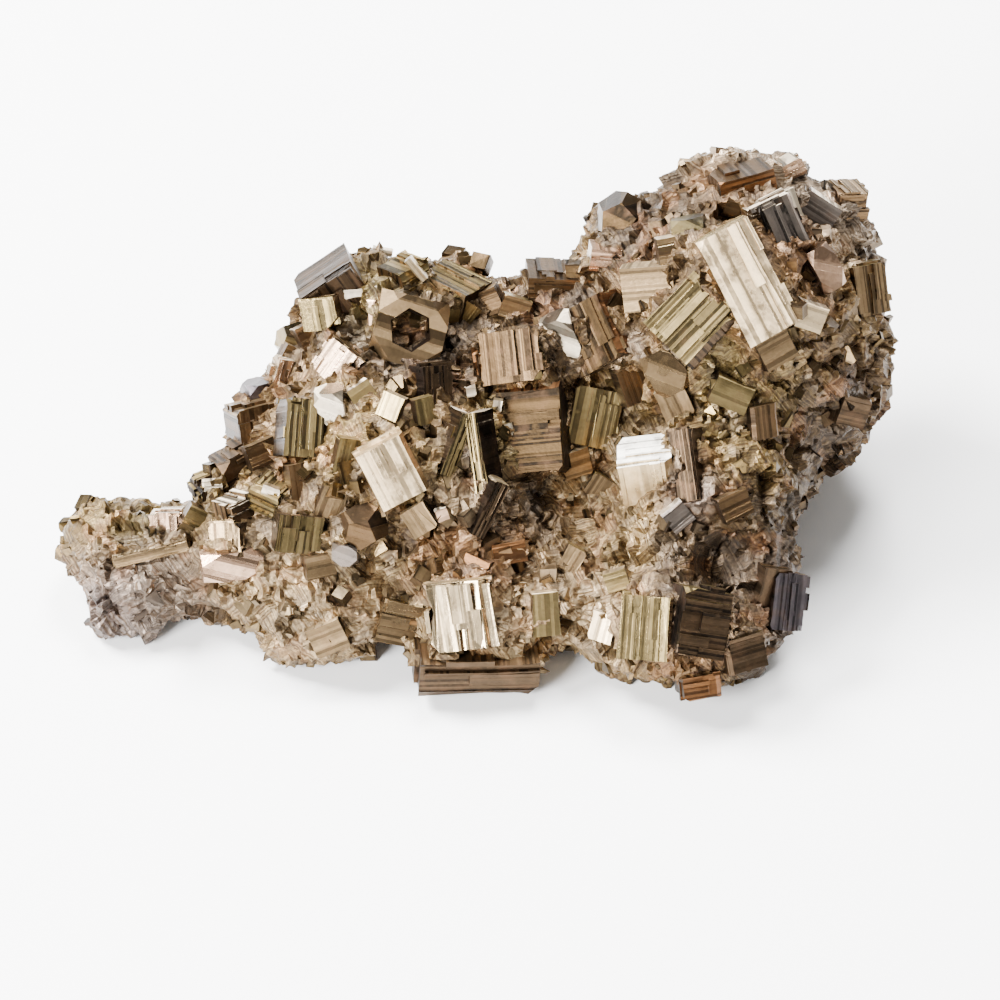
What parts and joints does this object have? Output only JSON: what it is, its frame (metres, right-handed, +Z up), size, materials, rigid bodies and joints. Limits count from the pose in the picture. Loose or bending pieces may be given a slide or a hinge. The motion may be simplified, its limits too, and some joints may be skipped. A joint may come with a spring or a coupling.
{
  "type": "pyrite specimen",
  "caption": "Lumpy natural cluster of brassy, striated pyrite crystals grown on their own granular rock, lying on a flat broken underside.",
  "frame": {"origin": "under the middle of the bounding box, on the surface that the specimen lies on", "axes": "+X along the longest extent, from the low tongue to the tall dome; +Z up; the crystal side faces up and towards -Y"},
  "size_m": [0.0804, 0.0534, 0.0363],
  "materials": {
    "granular_rock": "granular massive pyrite with grey vein rock, rough broken surface with small glinting grains",
    "pyrite_brown": "striated metallic faces with a brown tarnish",
    "pyrite_olive": "striated metallic faces with an olive tarnish",
    "pyrite_cream": "bright pale brassy faces, finely striated",
    "pyrite_dark": "deeply tarnished dark metallic faces",
    "pyrite_rust": "metallic faces with a reddish iron oxide film",
    "pyrite_grey": "steel-grey metallic faces"
  },
  "bodies": {
    "root": {"granular_rock": "granular_rock", "crown_block": "pyrite_dark", "crown_tip": "pyrite_olive", "crown_right_block": "pyrite_brown", "hopper_crystal": "pyrite_grey", "crown_tan_cube": "pyrite_cream", "pink_striated_cube": "pyrite_cream", "left_ear_crystal": "pyrite_olive", "left_splinter": "pyrite_cream", "white_wedge": "pyrite_cream", "grey_bead": "pyrite_grey", "shoulder_rust_block": "pyrite_rust", "shoulder_plate": "pyrite_brown", "olive_tower": "pyrite_olive", "cream_tablet": "pyrite_cream", "shoulder_cube_left": "pyrite_dark", "shoulder_cube_middle": "pyrite_dark", "shoulder_cube_right": "pyrite_olive", "olive_cube_wide": "pyrite_olive", "olive_cube_small": "pyrite_olive", "bud_crystal": "pyrite_brown", "bud_companion": "pyrite_cream", "dark_pillar": "pyrite_dark", "striated_cube": "pyrite_brown", "striated_cube_step": "pyrite_rust", "spark_crystal": "pyrite_olive", "saddle_block": "pyrite_brown", "amber_wall": "pyrite_rust", "banded_block": "pyrite_dark", "comb_crystal": "pyrite_grey", "blade_left": "pyrite_olive", "blade_middle": "pyrite_olive", "blade_right": "pyrite_olive", "white_topped_cube": "pyrite_cream", "amber_prism": "pyrite_rust", "dome_cream_slab": "pyrite_cream", "dome_striated_cube": "pyrite_olive", "dome_wedge": "pyrite_cream", "zebra_crystal": "pyrite_dark", "green_bead": "pyrite_dark", "brow_crystal": "pyrite_brown", "brow_glint": "pyrite_cream", "crest_block": "pyrite_rust", "crest_glint": "pyrite_cream", "crest_right_block": "pyrite_brown", "cheek_crystal": "pyrite_grey", "orange_facet": "pyrite_rust", "front_striated_block": "pyrite_cream", "front_pale_block": "pyrite_cream", "hanging_crystal": "pyrite_rust", "foot_striated_cube": "pyrite_cream", "foot_dark_block": "pyrite_dark", "foot_ember": "pyrite_rust", "corner_block": "pyrite_dark", "tongue_cube": "pyrite_cream", "tongue_blade": "pyrite_cream", "cream_shard": "pyrite_cream", "back_upper_cube": "pyrite_brown", "back_twin_cube": "pyrite_olive", "back_lower_cube": "pyrite_olive"}
  },
  "joints": []
}
